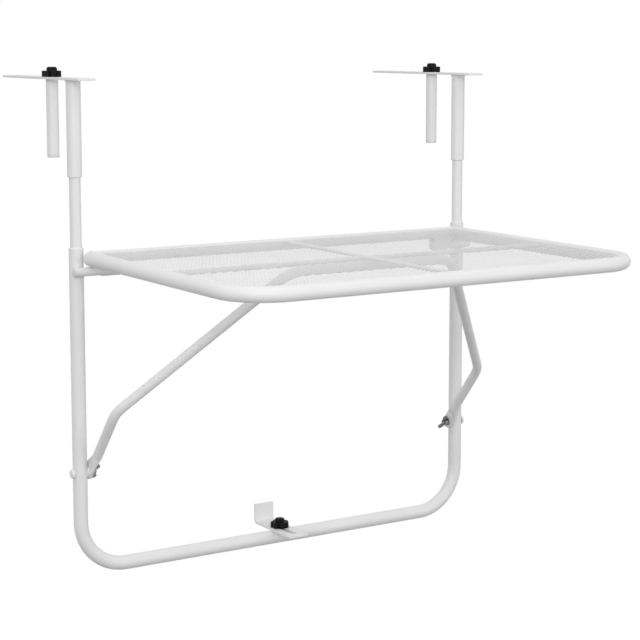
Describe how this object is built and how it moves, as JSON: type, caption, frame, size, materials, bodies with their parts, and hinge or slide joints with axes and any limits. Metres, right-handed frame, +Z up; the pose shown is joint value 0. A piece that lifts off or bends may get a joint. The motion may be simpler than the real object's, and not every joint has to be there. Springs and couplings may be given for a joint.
{
  "type": "folding balcony table",
  "caption": "Tubular steel table that hangs on a balcony rail by plate clamps, with a mesh top that folds down on a swinging brace, sliding hangers and a foot bracket.",
  "frame": {"origin": "midway between the hangers, in the plane of the uprights' axes, at the underside of the clamp plates, where the rail's top is", "axes": "+X to the right seen from the table's front, +Y towards the railing, +Z up"},
  "size_m": [0.6342, 0.632, 0.6685],
  "materials": {
    "white_steel": "powder coat",
    "white_plastic": "moulded",
    "black_plastic": "moulded",
    "zinc_steel": "zinc plated"
  },
  "bodies": {
    "base": {"base_frame": "white_steel", "hinge_stubs": "white_steel", "hinge_stub_plugs": "white_plastic", "pivot_bolts": "zinc_steel", "pivot_saddles": "white_plastic", "foot_rivet_nut": "zinc_steel", "height_lock_screws": "zinc_steel"},
    "table_top": {"table_rim": "white_steel", "table_rear_tube": "white_steel", "rim_end_plugs": "white_plastic", "table_mid_bar": "white_steel", "table_spine_bars": "white_steel", "table_net": "white_steel", "hinge_straps": "white_steel"},
    "brace": {"brace": "white_steel"},
    "foot_bracket": {"foot_bracket": "white_steel"},
    "foot_knob": {"foot_knob_grip": "black_plastic", "foot_knob_stud": "zinc_steel"},
    "left_hanger": {"left_extension_tube": "white_steel", "left_clamp_sleeve": "white_steel", "left_clamp_plate": "white_steel"},
    "left_post": {"left_clamp_post": "white_steel", "left_post_top_plug": "white_plastic", "left_post_end_cap": "white_plastic"},
    "left_clamp_knob": {"left_clamp_knob_grip": "black_plastic", "left_clamp_knob_stud": "zinc_steel"},
    "left_wing_nut": {"left_wing_nut": "zinc_steel"},
    "right_hanger": {"right_extension_tube": "white_steel", "right_clamp_sleeve": "white_steel", "right_clamp_plate": "white_steel"},
    "right_post": {"right_clamp_post": "white_steel", "right_post_top_plug": "white_plastic", "right_post_end_cap": "white_plastic"},
    "right_clamp_knob": {"right_clamp_knob_grip": "black_plastic", "right_clamp_knob_stud": "zinc_steel"},
    "right_wing_nut": {"right_wing_nut": "zinc_steel"}
  },
  "joints": [
    {"name": "table_fold", "type": "hinge", "parent": "base", "child": "table_top", "pos_m": [0, -0.0145, -0.245], "axis": [1, 0, 0], "range_deg": [0, 86]},
    {"name": "brace_swing", "type": "hinge", "parent": "base", "child": "brace", "pos_m": [0, 0, -0.5125], "axis": [1, 0, 0], "range_deg": [0, 128.2]},
    {"name": "foot_bracket_slide", "type": "slide", "parent": "base", "child": "foot_bracket", "axis": [0, 1, 0], "range_m": [0, 0.036]},
    {"name": "foot_knob_turn", "type": "hinge", "parent": "base", "child": "foot_knob", "pos_m": [0, 0, -0.63], "axis": [0, 0, 1], "continuous": true},
    {"name": "left_height_slide", "type": "slide", "parent": "base", "child": "left_hanger", "axis": [0, 0, 1], "range_m": [-0.09, 0.06]},
    {"name": "left_post_slide", "type": "slide", "parent": "left_hanger", "child": "left_post", "axis": [0, 1, 0], "range_m": [-0.031, 0.116]},
    {"name": "left_clamp_knob_turn", "type": "hinge", "parent": "left_post", "child": "left_clamp_knob", "pos_m": [-0.304, 0.0665, 0], "axis": [0, 0, 1], "continuous": true},
    {"name": "left_wing_nut_turn", "type": "hinge", "parent": "base", "child": "left_wing_nut", "pos_m": [-0.304, 0, -0.5125], "axis": [1, 0, 0], "continuous": true},
    {"name": "right_height_slide", "type": "slide", "parent": "base", "child": "right_hanger", "axis": [0, 0, 1], "range_m": [-0.09, 0.06]},
    {"name": "right_post_slide", "type": "slide", "parent": "right_hanger", "child": "right_post", "axis": [0, 1, 0], "range_m": [-0.031, 0.116]},
    {"name": "right_clamp_knob_turn", "type": "hinge", "parent": "right_post", "child": "right_clamp_knob", "pos_m": [0.304, 0.0665, 0], "axis": [0, 0, 1], "continuous": true},
    {"name": "right_wing_nut_turn", "type": "hinge", "parent": "base", "child": "right_wing_nut", "pos_m": [0.304, 0, -0.5125], "axis": [1, 0, 0], "continuous": true}
  ],
  "couplings": [
    {"joint": "brace_swing", "follows": "table_fold", "ratio": 1.49}
  ]
}
